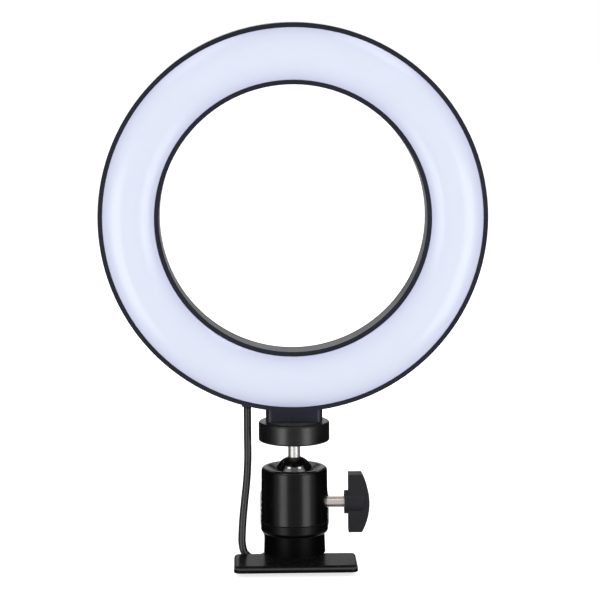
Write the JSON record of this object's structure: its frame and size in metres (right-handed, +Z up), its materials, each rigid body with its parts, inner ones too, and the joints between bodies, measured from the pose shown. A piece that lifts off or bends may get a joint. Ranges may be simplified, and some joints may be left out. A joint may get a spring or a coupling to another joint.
{
  "type": "ring light",
  "caption": "Small ring light with a domed diffuser on a lockable ball head and a spring clip, with a tied USB lead.",
  "frame": {"origin": "on the ball head's axis, on the flat underside of the lower jaw", "axes": "+Z up along the ball head, -Y the way the light shines, +X to the right seen from the front"},
  "size_m": [0.16, 0.1441, 0.2256],
  "materials": {
    "black_gloss": "glossy black",
    "black_satin": "satin black",
    "dark_grey": "matte dark grey",
    "black_paint": "glossy black paint",
    "milky": "milky, softly glossy",
    "steel": "bright",
    "brass": "plain",
    "nylon": "plain",
    "board": "white solder mask",
    "board_green": "green solder mask",
    "chip": "phosphor yellow",
    "rubber": "matte",
    "cord": "satin jacket"
  },
  "bodies": {
    "clip": {"lower_jaw": "black_paint", "lower_pad": "rubber", "hinge_pin": "steel", "clip_spring": "steel", "cord_drop": "cord", "cord_floor": "cord", "cord_hank": "cord", "cord_tail": "cord", "cable_tie": "cord", "plug_body": "black_gloss", "plug_shell": "steel", "plug_tongue": "nylon"},
    "head": {"upper_jaw": "black_paint", "upper_pad": "rubber", "base_screw": "steel", "neck": "black_gloss", "base_cap": "black_gloss", "housing": "black_gloss", "clamp_shoe": "brass", "ball_cup": "nylon", "retaining_ring": "nylon"},
    "knob": {"lock_knob": "dark_grey", "lock_screw": "steel"},
    "ball_stud": {"ball": "black_gloss", "stud": "steel"},
    "nut": {"lock_nut": "black_satin", "nut_insert": "brass", "nut_washer": "rubber"},
    "ring": {"front_frame": "black_satin", "diffuser": "milky", "led_board": "board", "led_chips": "chip", "board_screws": "steel", "driver_board": "board_green", "key_switches": "black_satin", "rear_cover": "black_satin", "cover_screws": "steel", "thread_insert": "brass", "cord_gland": "black_satin", "lead_wires": "rubber"},
    "power_key": {"button_power": "dark_grey"},
    "dim_key": {"button_dim": "dark_grey"},
    "bright_key": {"button_bright": "dark_grey"}
  },
  "joints": [
    {"name": "jaw_open", "type": "hinge", "parent": "clip", "child": "head", "pos_m": [0, 0.025, 0.0054], "axis": [-1, 0, 0], "range_deg": [0, 22], "stiffness_Nm_per_rad": 0.9, "springref_deg": -28.65, "deforming": ["clip_spring", "cord_drop"]},
    {"name": "knob_turn", "type": "hinge", "parent": "head", "child": "knob", "pos_m": [0.02, 0, 0.0255], "axis": [1, 0, 0], "range_deg": [0, 360]},
    {"name": "ball_tilt", "type": "hinge", "parent": "head", "child": "ball_stud", "pos_m": [0, 0, 0.0374], "axis": [1, 0, 0], "range_deg": [-45, 45], "deforming": ["cord_drop"]},
    {"name": "nut_turn", "type": "hinge", "parent": "ball_stud", "child": "nut", "pos_m": [0, 0, 0.056], "axis": [0, 0, 1], "range_deg": [0, 180]},
    {"name": "ring_turn", "type": "hinge", "parent": "ball_stud", "child": "ring", "pos_m": [0, 0, 0.061], "axis": [0, 0, 1], "range_deg": [-45, 45], "deforming": ["cord_drop"]},
    {"name": "power_press", "type": "slide", "parent": "ring", "child": "power_key", "axis": [0, -1, 0], "range_m": [0, 0.0005], "stiffness_N_per_m": 900, "springref_m": -0.0004},
    {"name": "dim_press", "type": "slide", "parent": "ring", "child": "dim_key", "axis": [0, -1, 0], "range_m": [0, 0.0005], "stiffness_N_per_m": 900, "springref_m": -0.0004},
    {"name": "bright_press", "type": "slide", "parent": "ring", "child": "bright_key", "axis": [0, -1, 0], "range_m": [0, 0.0005], "stiffness_N_per_m": 900, "springref_m": -0.0004}
  ]
}
